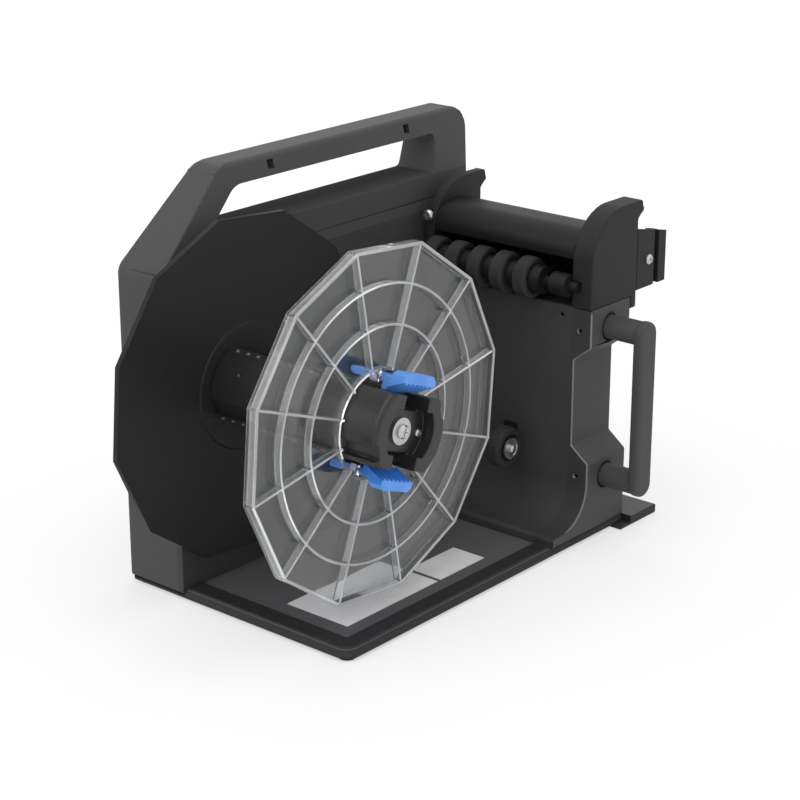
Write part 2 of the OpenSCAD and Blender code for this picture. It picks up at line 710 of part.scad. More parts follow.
module idler_axle() color([0.72, 0.72, 0.74]) placed() translate([0, idler_y, idler_z])
    difference() {
        x_turned([[0, lug_x - 3], [6, lug_x - 3], [6, lug_x], [axle_r, lug_x], [axle_r, idler_x + 0.6],
            [8.5, idler_x + 0.6], [8.5, idler_x + 2], [7.4, idler_x + 2], [7, idler_x + 1.4],
            [3.6, idler_x + 1.4], [3.6, idler_x + 4],
            [2.4, idler_x + 5], [0, idler_x + 5]]);
        cross_slot(idler_x + 5, 1.8, 1);
    }

tyre_in = 11.5;
module idler_hub() color([0.12, 0.12, 0.12]) placed() translate([0, idler_y, idler_z])
    x_turned([[axle_r + run_gap, idler_x - idler_w - 0.5], [7, idler_x - idler_w - 0.5],
        [7, idler_x - idler_w + 2], [9, idler_x - idler_w + 2], [9.5, idler_x - idler_w], [tyre_in, idler_x - idler_w],
        [tyre_in, idler_x], [9.5, idler_x], [9, idler_x - 2], [7, idler_x - 2], [7, idler_x + 0.3],
        [axle_r + run_gap, idler_x + 0.3]]);

module idler_tyre() color([0.3, 0.3, 0.31]) placed() translate([0, idler_y, idler_z])
    x_turned([[tyre_in + fit_gap, idler_x - idler_w], [idler_r - roller_edge, idler_x - idler_w],
        [idler_r, idler_x - idler_w + roller_edge], [idler_r, idler_x - roller_edge],
        [idler_r - roller_edge, idler_x], [tyre_in + fit_gap, idler_x]]);

// Docking bracket on the right ear
channel_y = bracket_y - 16;
channel_t = 6;
bracket_screw_y = 288;
bracket_screw_z = 213;
module docking_bracket() color([0.26, 0.26, 0.26]) placed() difference() {
    translate([0, 0, bracket_low]) linear_extrude(bracket_high - bracket_low) union() {
        translate([ear_r_x + 2, ear_back_y]) square([ear_r_t - 2, bracket_t]);
        translate([right_x - bracket_t, ear_back_y]) square([bracket_t, channel_y - ear_back_y]);
        translate([right_x - bracket_t - channel_t, channel_y - bracket_t]) square([channel_t + bracket_t, bracket_t]);
        translate([right_x - bracket_t - channel_t, channel_y - bracket_t]) square([bracket_t, channel_t + 2 * bracket_t]);
        translate([right_x - bracket_t - channel_t, channel_y + channel_t]) square([channel_t + bracket_t, bracket_t]);
        translate([right_x - bracket_t, channel_y + channel_t]) square([bracket_t, bracket_y - channel_y - channel_t]);
    }
    along_x(ear_r_x, right_x + cut) polygon([[ear_back_y - cut, bracket_high], [bracket_y + cut, bracket_high - 9],
        [bracket_y + cut, bracket_high + cut], [ear_back_y - cut, bracket_high + cut]]);
    translate([0, bracket_screw_y, bracket_screw_z]) x_rod(ear_r_x, right_x + cut, screw_r + fit_gap);
}

module bracket_screw() color([0.7, 0.7, 0.72]) placed() translate([0, bracket_screw_y, bracket_screw_z])
    difference() {
        x_screw(right_x, screw_r, 4, 2.4, 6);
        cross_slot(right_x + 2.4, 2, 1);
    }

// Drive inside the housing
module drive_plate(x, hole) difference() {
    translate([x, drive_front - plate_edge, drive_low - plate_edge])
        cube([plate_w, drive_back - drive_front + 2 * plate_edge, drive_high - drive_low + 2 * plate_edge]);
    translate([0, 0, spindle_h]) x_rod(x - cut, x + plate_w + cut, bearing_r + fit_gap);
    translate([0, motor_y, motor_z]) x_rod(x - cut, x + plate_w + cut, hole);
    for (p = drive_posts) translate([0, p[0], p[1]]) x_rod(x - cut, x + plate_w + cut, screw_r + fit_gap);
}
module front_drive_plate() color([0.65, 0.65, 0.67]) placed() drive_plate(front_plate_x, motor_shaft_r + 1);
module rear_drive_plate() color([0.65, 0.65, 0.67]) placed() drive_plate(rear_plate_x, pilot_r + fit_gap);

module plate_spacers() color([0.7, 0.7, 0.7]) placed() for (p = drive_posts) translate([0, p[0], p[1]])
    x_ring(rear_plate_x + plate_w, front_plate_x, screw_r + fit_gap, 4);

module drive_screws() color([0.7, 0.7, 0.72]) placed() for (p = drive_posts) translate([0, p[0], p[1]])
    difference() {
        x_screw(front_plate_x + plate_w, screw_r, head_r, head_h, 34);
        cross_slot(front_plate_x + plate_w + head_h, head_r * 0.6, 0.9);
    }

module bearing(x) translate([0, 0, spindle_h]) difference() {
    x_ring(x, x + bearing_w, shaft_r + run_gap, bearing_r);
    x_ring(x - cut, x + 0.8, shaft_r + 2, bearing_r - 2);
    x_ring(x + bearing_w - 0.8, x + bearing_w + cut, shaft_r + 2, bearing_r - 2);
}
module front_bearing() color([0.75, 0.75, 0.77]) placed() bearing(front_plate_x);
module rear_bearing() color([0.75, 0.75, 0.77]) placed() bearing(rear_plate_x + plate_w - bearing_w);

motor_end_x = rear_plate_x - motor_l;
module drive_motor() color([0.6, 0.6, 0.62]) placed() translate([0, motor_y, motor_z]) difference() {
    x_turned([[0, motor_end_x], [motor_r - 4, motor_end_x], [motor_r - 4, motor_end_x + 2],
        [motor_r - 1, motor_end_x + 2], [motor_r, motor_end_x + 3], [motor_r, rear_plate_x - 1],
        [motor_r - 1, rear_plate_x], [pilot_r, rear_plate_x], [pilot_r, rear_plate_x + plate_w], [0, rear_plate_x + plate_w]]);
    x_rod(rear_plate_x - 12, rear_plate_x + plate_w + cut, motor_shaft_r + run_gap);
}

module motor_shaft() color([0.75, 0.75, 0.77]) placed() translate([0, motor_y, motor_z])
    x_rod(rear_plate_x - 11, front_plate_x - 0.5, motor_shaft_r);

module motor_pinion() color([0.72, 0.6, 0.3]) placed() translate([0, motor_y, motor_z]) difference() {
    along_x(gear_x, gear_x + gear_w) rotate(mesh_a + 180) polygon(gear_points(pinion_n));
    x_rod(gear_x - cut, gear_x + gear_w + cut, motor_shaft_r + fit_gap);
}

board_x = outer_x + cover_wall + peg_h;
module control_board() color([0.1, 0.35, 0.15]) placed() {
    translate([board_x, board_front, board_low]) cube([board_t, board_back - board_front, board_high - board_low]);
    translate([board_x + board_t, board_front + 10, board_low + 8]) cube([14, 16, 18]);
    translate([board_x + board_t, board_front + 36, board_low + 10]) cube([3, 14, 14]);
    translate([0, board_front + 62, board_low + 34]) x_rod(board_x + board_t, board_x + board_t + 16, 6);
}

module power_inlet() color([0.08, 0.08, 0.08]) placed() difference() {
    translate([power_x - inlet_w / 2, back_y - inlet_d, inlet_z - inlet_w / 2]) cube([inlet_w, inlet_d, inlet_w]);
    translate([power_x, 0, inlet_z]) y_rod(back_y - 11, back_y + cut, inlet_r);
}

switch_flange = 2;
module switch_body() color([0.08, 0.08, 0.08]) placed() translate([power_x, 0, switch_z]) difference() {
    union() {
        translate([-switch_w / 2, back_y - switch_d, -switch_h / 2]) cube([switch_w, switch_d, switch_h]);
        translate([-switch_w / 2 - switch_flange, back_y, -switch_h / 2 - switch_flange])
            cube([switch_w + 2 * switch_flange, 1.5, switch_h + 2 * switch_flange]);
    }
    translate([-switch_w / 2 + switch_wall, back_y - switch_d + 3, -switch_h / 2 + switch_wall])
        cube([switch_w - 2 * switch_wall, switch_d, switch_h - 2 * switch_wall]);
    translate([0, rocker_y, 0]) x_rod(-switch_w / 2, switch_w / 2, trunnion_r + run_gap);
}

module switch_rocker() color([0.1, 0.1, 0.1]) placed() translate([power_x, rocker_y, switch_z])
    rotate([-rocker_tip, 0, 0]) {
        along_x(-rocker_w / 2, rocker_w / 2) polygon([[-4, -8], [-4, 8], [1, 9.4], [7, 9], [5, 0], [7, -9], [1, -9.4]]);
        x_rod(-rocker_w / 2 - 0.8, rocker_w / 2 + 0.8, trunnion_r);
    }

// Spindle group
bar_x = core_reach - bar_recess;
tap_r = 3;
module spindle_shaft() color([0.75, 0.75, 0.77]) on_spindle() difference() {
    x_turned([[0, shaft_end_x], [shaft_r - 0.8, shaft_end_x], [shaft_r, shaft_end_x + 0.8], [shaft_r, bar_x], [0, bar_x]]);
    x_rod(bar_x - 14, bar_x + cut, tap_r + fit_gap);
}

gear_rim = 5;
module spindle_gear() color([0.85, 0.83, 0.75]) on_spindle() difference() {
    along_x(gear_x, gear_x + gear_w) rotate(mesh_a + 180 / gear_n - spindle_turn) polygon(gear_points(gear_n));
    x_rod(gear_x - cut, gear_x + gear_w + cut, shaft_r + fit_gap);
    x_ring(gear_x - cut, gear_x + 2, 12, gear_m * gear_n / 2 - gear_rim);
    x_ring(gear_x + gear_w - 2, gear_x + gear_w + cut, 12, gear_m * gear_n / 2 - gear_rim);
}

// Flange: flat web, rim, radial ribs to the corners and ring ribs
rim_t = 2.2;
module flange_rim(x0, x1) difference() {
    x_rod(x0, x1, flange_r, flange_sides);
    x_rod(x0 - cut, x1 + cut, flange_r - rim_t / cos(180 / flange_sides), flange_sides);
}
module flange_ribs(x0, x1, r0) {
    for (k = [0 : flange_sides - 1]) rotate([k * 360 / flange_sides, 0, 0])
        translate([x0, -rib_t / 2, r0]) cube([x1 - x0, rib_t, flange_r - rim_t - r0]);
    for (r = [ring_1_r, ring_2_r]) x_ring(x0, x1, r - rib_t / 2, r + rib_t / 2);
}

hub_r = 10;
module inner_flange() color([0.1, 0.1, 0.1]) on_spindle() difference() {
    union() {
        x_rod(inner_front_x - inner_web_t, inner_front_x, flange_r, flange_sides);
        flange_rim(inner_back_x, inner_front_x - inner_web_t);
        flange_ribs(inner_back_x, inner_front_x - inner_web_t, hub_r - rib_t);
        x_turned([[0, inner_front_x], [step_r, inner_front_x], [step_r - 0.8, inner_front_x + step_h], [0, inner_front_x + step_h]]);
        x_rod(front_plate_x + bearing_w + pass_gap, inner_front_x, hub_r);
    }
    x_rod(outer_x, right_x, shaft_r + fit_gap);
}

core_x0 = inner_front_x + step_h;
groove_a = 28.5;
notch_l = 4;
notch_d = 2;
leaf_wall = 4;
notch_x0 = core_x0 + 8;
notch_n = floor((flange_back_x - notch_x0) / notch_pitch) + 1;
flat_edge = sqrt(core_r * core_r - flat_h * flat_h);
pocket_r0 = shaft_r + 7;
pocket_r1 = core_r - groove_d - leaf_wall;
leaf_hole_a = 166;
leaf_hole_x = core_x0 + 23;
leaf_hole_d = 6;
leaf_hole_r = 1.6;
module core_mandrel() color([0.13, 0.13, 0.13]) on_spindle() difference() {
    x_turned(rounded([[shaft_r + fit_gap, core_x0, 0], [core_r, core_x0, 0], [core_r, core_reach, lead_r],
        [shaft_r + fit_gap, core_reach, 0]]));
    for (a = [0, 180]) rotate([a, 0, 0]) {
        translate([core_x0 - cut, -core_r, flat_h]) cube([core_reach - core_x0 + 2 * cut, 2 * core_r, core_r]);
        translate([core_x0 - cut, -channel_w / 2, bar_h]) cube([core_reach - core_x0 + 2 * cut, channel_w, core_r]);
        rotate([groove_a, 0, 0]) translate([core_x0 - cut, core_r - groove_d, -groove_w / 2])
            cube([core_reach - core_x0 + 2 * cut, core_r, groove_w]);
        for (i = [0 : notch_n - 1], s = [-1, 1])
            translate([notch_x0 + i * notch_pitch, s * flat_edge - notch_d, flat_h - notch_d])
                cube([notch_l, 2 * notch_d, 2 * notch_d]);
        rotate([leaf_hole_a, 0, 0]) translate([leaf_hole_x, 0, 0])
            y_rod(core_r - leaf_hole_d, core_r + cut, leaf_hole_r);
    }
    intersection() {
        x_rod(bar_x, core_reach + cut, recess_half);
        translate([bar_x, -core_r, -bar_h - cut]) cube([core_reach, 2 * core_r, 2 * bar_h + 2 * cut]);
    }
    intersection() {
        x_ring(core_x0 - cut, bar_x - 6, pocket_r0, pocket_r1);
        for (s = [-1, 1]) translate([core_x0 - cut, s * (channel_w / 2 + leaf_wall + core_r / 2) - core_r / 2, -core_r])
            cube([core_reach - core_x0, core_r, 2 * core_r]);
    }
    translate([0, locate_r, 0]) x_rod(bar_x - 9, bar_x + cut, screw_r + fit_gap);
}

washer_r = 9.7;
washer_t = 1.8;
module end_washer() color([0.72, 0.72, 0.74]) on_spindle() x_ring(bar_x, bar_x + washer_t, tap_r + fit_gap, washer_r);
module end_screw() color([0.72, 0.72, 0.74]) on_spindle() difference() {
    x_screw(bar_x + washer_t, tap_r, 5.2, 3, 13);
    cross_slot(bar_x + washer_t + 3, 2.8, 1.3);
}
locate_r = 20;
module locating_screw() color([0.72, 0.72, 0.74]) on_spindle() translate([0, locate_r, 0]) difference() {
    x_screw(bar_x, screw_r, 3, 2, 8);
    cross_slot(bar_x + 2, 1.7, 0.9);
}

// Sliding outer flange and its levers
collar_in = core_r + pass_gap;
collar_out = collar_in + collar_wall;
lug_gap = 0.3;
lug_in = arm_w / 2 + lug_gap;
lug_out = channel_w / 2 - lug_gap;
lug_low = pin_h - 3.5;
lug_top = collar_in - 0.1;
pin_x = flange_back_x / 2;
lug_l = pin_x + 2 * pin_r - flange_back_x;
collar_front_x = -3.4;
module outer_flange() color([0.85, 0.88, 0.9, 0.5]) on_spindle() difference() {
    union() {
        difference() {
            union() {
                x_rod(flange_back_x, flange_back_x + outer_web_t, flange_r, flange_sides);
                flange_rim(flange_back_x, 0);
                flange_ribs(flange_back_x, -0.6, collar_in + 1);
                x_rod(flange_back_x, collar_front_x, collar_out);
            }
            x_rod(flange_back_x - cut, cut, collar_in);
        }
        for (a = [0, 180], s = [-1, 1]) rotate([a, 0, 0])
            translate([flange_back_x, s * (lug_in + lug_out) / 2 - (lug_out - lug_in) / 2, lug_low])
                cube([lug_l, lug_out - lug_in, lug_top - lug_low]);
    }
    for (a = [0, 180]) rotate([a, 0, 0])
        translate([pin_x, 0, pin_h]) y_rod(-lug_out - cut, lug_out + cut, pin_r + fit_gap);
}

module lever_pins() color([0.75, 0.75, 0.77]) on_spindle() for (a = [0, 180]) rotate([a, 0, 0])
    translate([pin_x, 0, pin_h]) y_rod(-lug_out, lug_out, pin_r);

// Lever: a thin arm on the pin, a wide grip with a ribbed ramp that faces the mandrel, and a narrow
// pad that carries on the ramp into the channel
arm_low = 30.5;
arm_high = 36;
grip_low = flat_h + 1.8;
grip_high = grip_low + grip_t;
grip_cut = 3;
grip_lean = 4;
ramp_x = grip_reach - grip_l - 3;
ramp_slope = 0.42;
pad_x = 2;
pad_w = channel_w - 2;
rib_n = 7;
rib_step = 4.6;
rib_w = 1.8;
rib_h = 1.2;
function ramp_z(x) = grip_low + (x - ramp_x) * ramp_slope;
module lever_ramp(x0, width, low, high) along_y(-width / 2, width / 2) polygon([[x0, ramp_z(x0) - low],
    [grip_reach, ramp_z(grip_reach) - low], [grip_reach, ramp_z(grip_reach)], [x0, high]]);
module lever() difference() {
    union() {
        along_y(-arm_w / 2, arm_w / 2) polygon([[-tail_reach, arm_low + 2], [-tail_reach + 3, arm_low],
            [ramp_x + grip_lean, arm_low], [ramp_x + grip_lean, arm_high], [-tail_reach + 1, arm_high],
            [-tail_reach, arm_high - 1]]);
        intersection() {
            along_y(-grip_w / 2, grip_w / 2) polygon([[ramp_x, grip_low], [grip_reach, ramp_z(grip_reach)],
                [grip_reach, grip_high], [ramp_x + grip_lean, grip_high]]);
            along_x(ramp_x, grip_reach) polygon([[-grip_w / 2, 0], [grip_w / 2, 0], [grip_w / 2, grip_high - grip_cut],
                [grip_w / 2 - grip_cut, grip_high], [-grip_w / 2 + grip_cut, grip_high],
                [-grip_w / 2, grip_high - grip_cut]]);
        }
        lever_ramp(pad_x, pad_w, 0, arm_high);
        for (i = [0 : rib_n - 1]) translate([0, (i - (rib_n - 1) / 2) * rib_step, 0])
            lever_ramp(ramp_x, rib_w, rib_h, grip_low + rib_h);
    }
    translate([pin_x, 0, pin_h]) y_rod(-arm_w, arm_w, pin_r + run_gap);
}
module upper_lever() color([0.1, 0.38, 0.75]) on_spindle() lever();
module lower_lever() color([0.1, 0.38, 0.75]) on_spindle() rotate([180, 0, 0]) lever();

base_tray();
rubber_feet();
docking_plate();
floor_sheets();
outer_cover();
handle_cover();
inner_cover();
handle_screws();
wall_shell();
wall_back_cover();
wall_end_cap();
pull_handle();
right_guide_ear();
left_guide_ear();
guide_plate();
ear_screw();
roller_shaft();
guide_rollers();
roller_collars();
idler_bracket();
idler_axle();
idler_hub();
idler_tyre();
docking_bracket();
bracket_screw();
front_drive_plate();
rear_drive_plate();
plate_spacers();
drive_screws();
front_bearing();
rear_bearing();
drive_motor();
motor_shaft();
motor_pinion();
control_board();
power_inlet();
switch_body();
switch_rocker();
spindle_shaft();
spindle_gear();
inner_flange();
core_mandrel();
end_washer();
end_screw();
locating_screw();
outer_flange();
lever_pins();
upper_lever();
lower_lever();
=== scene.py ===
# %% [markdown]
# A label rewinder in the studio
#
# A label rewinder winds a printed web of labels onto a core. A motor in the tall housing turns
# a spindle, a black flange is fixed on it, and a clear flange slides along its core mandrel and
# is locked there by two blue levers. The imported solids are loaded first, because everything that
# follows is placed in their frame: metres, +Z up, the spindle along X, the guide wall towards +Y.

# %% Load the solids
import json
import math

import bpy
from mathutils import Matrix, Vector


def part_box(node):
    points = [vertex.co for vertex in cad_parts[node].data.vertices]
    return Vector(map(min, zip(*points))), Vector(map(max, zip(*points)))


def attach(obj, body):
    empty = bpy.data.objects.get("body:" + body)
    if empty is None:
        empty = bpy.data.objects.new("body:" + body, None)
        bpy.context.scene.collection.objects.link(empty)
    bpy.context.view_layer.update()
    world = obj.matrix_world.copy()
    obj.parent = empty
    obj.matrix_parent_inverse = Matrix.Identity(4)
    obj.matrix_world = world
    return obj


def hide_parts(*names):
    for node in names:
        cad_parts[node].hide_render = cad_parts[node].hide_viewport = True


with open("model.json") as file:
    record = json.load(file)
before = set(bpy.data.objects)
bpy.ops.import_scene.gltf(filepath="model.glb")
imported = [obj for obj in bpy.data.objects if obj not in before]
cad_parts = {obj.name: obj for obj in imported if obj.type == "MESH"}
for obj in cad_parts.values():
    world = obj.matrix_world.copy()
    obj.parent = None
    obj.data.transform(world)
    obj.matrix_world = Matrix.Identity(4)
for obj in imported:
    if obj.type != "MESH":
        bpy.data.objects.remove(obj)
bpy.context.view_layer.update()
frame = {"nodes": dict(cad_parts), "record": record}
solids = frame["nodes"]

# %% [markdown]
# The photograph looks down on the machine from the operator's corner with a long lens. A real
# studio camera could shift its lens to keep the uprights parallel. A plain aimed camera is used
# here instead, far back, so that the same camera also works from every other side.

# %% Camera
EYE = Vector((0.9699, -1.1370, 0.6657))
AIM_TURN = math.radians(40.30)
AIM_DROP = math.radians(19.72)
LENS = 95.985
SENSOR = 36.0

camera_data = bpy.data.cameras.new("studio_camera")
camera_data.lens = LENS
camera_data.sensor_width = SENSOR
camera = bpy.data.objects.new("studio_camera", camera_data)
bpy.context.scene.collection.objects.link(camera)
camera.location = EYE
camera.rotation_euler = (math.pi / 2 - AIM_DROP, 0, AIM_TURN)
bpy.context.scene.camera = camera

# %% [markdown]
# Every finish here is a small program of shader nodes. Drawing those nodes by hand is quick in
# the editor and long-winded in code, so one class stands for a node's output: adding or
# multiplying two of them adds the Math node that does it. A second class stands for a finish,
# with one method that adds any node, and short names for the noises that plastics are made of.

# %% Shader sums
class Wire:
    """One output of a node. Sums on wires add Math nodes to the finish."""

    def __init__(self, finish, socket):
        self.finish = finish
        self.socket = socket

    def sum(self, operation, first, second):
        """Adds one Math node and gives its output."""
        return self.finish.node("ShaderNodeMath", {"operation": operation}, {0: first, 1: second})

    def __add__(self, other):
        return self.sum("ADD", self, other)

    def __radd__(self, other):
        return self.sum("ADD", other, self)

    def __mul__(self, other):
        return self.sum("MULTIPLY", self, other)

    def __rmul__(self, other):
        return self.sum("MULTIPLY", other, self)

    def __gt__(self, other):
        return self.sum("GREATER_THAN", self, other)

    def __lt__(self, other):
        return self.sum("LESS_THAN", self, other)


print("wires can be added, multiplied and compared")

# %% Finish
def seen(*levels):
    """A colour as the eye reads it on a screen, 0 to 255, made linear for the shader."""
    linear = []
    for level in levels:
        share = level / 255
        linear.append(share / 12.92 if share < 0.04045 else ((share + 0.055) / 1.055) ** 2.4)
    return (*linear, 1.0)


class Finish:
    """A material whose shader sockets are fed by wires or set to plain values."""

    def __init__(self, name, **plain):
        self.material = bpy.data.materials.new(name)
        self.material.use_nodes = True
        self.tree = self.material.node_tree
        self.shader = self.tree.nodes["Principled BSDF"]
        for socket, value in plain.items():
            self.shader.inputs[socket.replace("_", " ")].default_value = value
        self.place = self.node("ShaderNodeTexCoord", output="Object")
        self.facing = self.node("ShaderNodeTexCoord", output="Normal")

    def node(self, kind, settings=None, sockets=None, output=0):
        """Adds any node: its settings first, then the values or wires of its sockets."""
        made = self.tree.nodes.new(kind)
        for key, value in (settings or {}).items():
            setattr(made, key, value)
        for key, value in (sockets or {}).items():
            self.feed(made.inputs[key], value)
        return Wire(self, made.outputs[output])

    def feed(self, socket, value):
        """Links a wire to a socket, or sets a plain value on it."""
        if isinstance(value, Wire):
            self.tree.links.new(value.socket, socket)
        else:
            socket.default_value = value

    def wear(self, **sockets):
        """Feeds the named sockets of the finish's own shader."""
        for socket, value in sockets.items():
            self.feed(self.shader.inputs[socket.replace("_", " ")], value)

    def noise(self, scale, detail, stretch=(1, 1, 1)):
        """A noise in the solid, finer with a larger scale, and stretched where the share is small."""
        place = self.place
        if stretch != (1, 1, 1):
            place = self.node("ShaderNodeMapping", None, {"Vector": place, "Scale": stretch})
        return self.node("ShaderNodeTexNoise", None, {"Vector": place, "Scale": scale, "Detail": detail})

    def spread(self, value, low, high):
        """Stretches the middle of a noise to the whole range from 0 to 1."""
        return self.node("ShaderNodeMapRange", None, {"Value": value, "From Min": low, "From Max": high})

    def blend(self, factor, first, second):
        """Mixes two colours."""
        sockets = {0: factor, 6: first, 7: second}
        return self.node("ShaderNodeMix", {"data_type": "RGBA"}, sockets, output=2)

    def inside(self, **bounds):
        """A mask that is 1 where every named value lies between its two bounds.

        x, y and z are the place. facing_x, facing_y and facing_z say where the surface looks."""
        mask = 1.0
        for key, (low, high) in bounds.items():
            source = self.facing if key.startswith("facing") else self.place
            axis = "xyz".index(key[-1])
            value = self.node("ShaderNodeSeparateXYZ", None, {"Vector": source}, output=axis)
            mask = (value > low) * (value < high) * mask
        return mask

    def over(self, share, **plain):
        """Lays a second plain shader over the first, by a share that a wire can give."""
        second = self.tree.nodes.new("ShaderNodeBsdfPrincipled")
        for socket, value in plain.items():
            second.inputs[socket.replace("_", " ")].default_value = value
        both = self.node("ShaderNodeMixShader", None, {0: share})
        mixer = both.socket.node
        self.tree.links.new(self.shader.outputs[0], mixer.inputs[1])
        self.tree.links.new(second.outputs[0], mixer.inputs[2])
        self.tree.links.new(both.socket, self.tree.nodes["Material Output"].inputs["Surface"])

    def bump(self, height, depth, strength):
        """Turns a height into a surface direction, for the Normal socket."""
        sockets = {"Height": height, "Distance": depth, "Strength": strength}
        return self.node("ShaderNodeBump", None, sockets)


print("shader sums and finishes are ready")

# %% [markdown]
# The light is a plain white studio. The world gives about two thirds of it, from everywhere. A wide
# key lamp stands high in front, one above, and a weaker one low at the left draws the glints on
# round pieces. All are suns with a large angle, because a sun lights the floor evenly however far
# it reaches. What the camera, a reflection or a clear piece sees of the world is plain white, at a
# strength of one.

# %% World
SKY_LIGHT = 0.74

world = bpy.data.worlds.new("white_studio")
bpy.context.scene.world = world
world.use_nodes = True
sky = world.node_tree
sky_surface = sky.nodes["Background"]
sky_rays = sky.nodes.new("ShaderNodeLightPath")
looked_at = sky.nodes.new("ShaderNodeMath")
looked_at.operation = "MAXIMUM"
shone_through = sky.nodes.new("ShaderNodeMath")
shone_through.operation = "MAXIMUM"
sky_level = sky.nodes.new("ShaderNodeMapRange")
sky_level.inputs["To Min"].default_value = SKY_LIGHT
sky_level.inputs["To Max"].default_value = 1.0
sky.links.new(sky_rays.outputs["Is Camera Ray"], looked_at.inputs[0])
sky.links.new(sky_rays.outputs["Is Glossy Ray"], looked_at.inputs[1])
sky.links.new(looked_at.outputs[0], shone_through.inputs[0])
sky.links.new(sky_rays.outputs["Is Transmission Ray"], shone_through.inputs[1])
sky.links.new(shone_through.outputs[0], sky_level.inputs["Value"])
sky.links.new(sky_level.outputs["Result"], sky_surface.inputs["Strength"])
sky_surface.inputs["Color"].default_value = (1, 1, 1, 1)
print("world light", SKY_LIGHT)

# %% Lamps
def soft_lamp(name, turn, height, power, width):
    """A wide distant lamp that stands at a turn from +X and a height above the floor, in degrees."""
    lamp_data = bpy.data.lights.new(name, "SUN")
    lamp_data.energy = power
    lamp_data.angle = math.radians(width)
    lamp = bpy.data.objects.new(name, lamp_data)
    bpy.context.scene.collection.objects.link(lamp)
    turn = math.radians(turn)
    height = math.radians(height)
    across = math.cos(height)
    source = Vector((math.cos(turn) * across, math.sin(turn) * across, math.sin(height)))
    lamp.rotation_euler = source.to_track_quat("Z", "Y").to_euler()


soft_lamp("key_lamp", turn=-75, height=50, power=0.7, width=60)
soft_lamp("top_lamp", turn=90, height=80, power=0.55, width=70)
soft_lamp("left_lamp", turn=-130, height=24, power=0.35, width=40)
print("three soft lamps")

# %% [markdown]
# The floor is a wide sheet of white board. It takes the machine's soft shadow, and its far edge
# lies well outside the view. To the camera, to a reflection and through a clear piece, half of the
# board's light is its own, as on a lit table, which keeps the shadow pale.

# %% Floor
FLOOR_REACH = 16.0
FLOOR_DROP = 0.0002
TABLE_GLOW = 0.5

bpy.ops.object.select_all(action="DESELECT")
bpy.ops.mesh.primitive_plane_add(size=FLOOR_REACH, location=(0, 0, -FLOOR_DROP))
floor = bpy.context.object
floor.name = "studio_floor"
bpy.ops.object.transform_apply(location=True, rotation=True, scale=True)

board = Finish("white_board", Roughness=0.9, Specular_IOR_Level=0.0)
fibre = board.noise(180, 3)
board.wear(Base_Color=board.blend(fibre, (0.95, 0.95, 0.95, 1), (0.97, 0.97, 0.97, 1)))
seen_by_camera = board.node("ShaderNodeLightPath", output="Is Camera Ray")
seen_in_gloss = board.node("ShaderNodeLightPath", output="Is Glossy Ray")
seen_through = board.node("ShaderNodeLightPath", output="Is Transmission Ray")
looked_at_board = seen_by_camera.sum("MAXIMUM", seen_by_camera, seen_in_gloss)
looked_at_board = looked_at_board.sum("MAXIMUM", looked_at_board, seen_through)
board.over(TABLE_GLOW * looked_at_board, Base_Color=(0, 0, 0, 1), Specular_IOR_Level=0.0,
           Emission_Color=(1, 1, 1, 1), Emission_Strength=1.0)
floor.data.materials.append(board.material)
bpy.context.scene.view_settings.view_transform = "Standard"
print("floor", FLOOR_REACH, "m across")

# %% [markdown]
# Most of the machine is injection moulded in dark grey with a spark-eroded grain. A photograph of
# the grain could be wrapped on, but it would not fit every face. Three noises do it in the solid
# instead: two fine ones for the grain, of which one also breaks the gloss, and a broad one for the
# slow change of tone that large mouldings have. Patches, found by place and direction, paint light
# and shade into some places of a moulding. Painted shade goes on the sill and below it, on the
# inner cover above the flange, on the end cap's front and on the black flange's edges. Painted light
# goes on the handle bar's top, the end cap's edge, the tray floor and the mandrel's notches.

# %% Moulded finish
CLOUD_SCALE = 9
SPECK_SCALE = 1500
PIT_SCALE = 2600
GRAIN_DEPTH = 0.00016
GRAIN_STRENGTH = 0.35


def moulded(name, shade, grain=1.0, gloss=0.5, sheen=0.28, patches=(), dull=None):
    """Grained moulding of a shade, given as dark and light screen levels.

    A patch holds the bounds of a place and direction, and the painted light or shade laid there.
    The dull place holds bounds and one shade, and has no gloss: it paints shade there."""
    finish = Finish(name, Specular_IOR_Level=sheen)
    cloud = finish.spread(finish.noise(CLOUD_SCALE, 3), 0.3, 0.7)
    speck = finish.noise(SPECK_SCALE, 2)
    pits = finish.noise(PIT_SCALE, 1)
    tone = cloud * 0.55 + speck * 0.45
    colour = finish.blend(tone, seen(*shade[0]), seen(*shade[1]))
    # Each patch lays painted light or shade over the grain's colour.
    for bounds, (dark, light) in patches:
        patch_colour = finish.blend(tone, seen(*dark), seen(*light))
        colour = finish.blend(finish.inside(**bounds), colour, patch_colour)
    finish.wear(Base_Color=colour)
    finish.wear(Roughness=gloss + 0.1 * cloud + 0.12 * speck)
    finish.wear(Normal=finish.bump(speck + 0.6 * pits, GRAIN_DEPTH * grain, GRAIN_STRENGTH))
    # The dull place paints shade: a darker colour with no gloss.
    if dull:
        bounds, painted_shade = dull
        finish.over(finish.inside(**bounds), Base_Color=seen(*painted_shade), Roughness=0.9,
                    Specular_IOR_Level=0.0)
    return finish.material


print("moulded finish: grain", GRAIN_DEPTH * 1000, "mm deep")

# %% Places with painted light or shade
LOOKS_UP = (0.95, 1.1)
SILL_Z = 0.261
SILL_EDGE = 0.0004
CAP_X = (0.0715, 0.0906)
TRAY_Z = 0.0075
TRAY_EDGE = 0.0002
# Painted shade: the sill under the handle bar is darkened, without gloss, for the bar's shadow.
shaded_sill = ({"z": (SILL_Z - SILL_EDGE, SILL_Z + SILL_EDGE), "facing_z": LOOKS_UP}, (71, 71, 71))
# Painted shade on the inward faces below the sill.
shade_under_sill = ({"y": (-0.09, 0.3), "z": (0.2, SILL_Z - SILL_EDGE), "facing_x": (0.9, 1.1)},
              ((49, 49, 49), (58, 58, 58)))
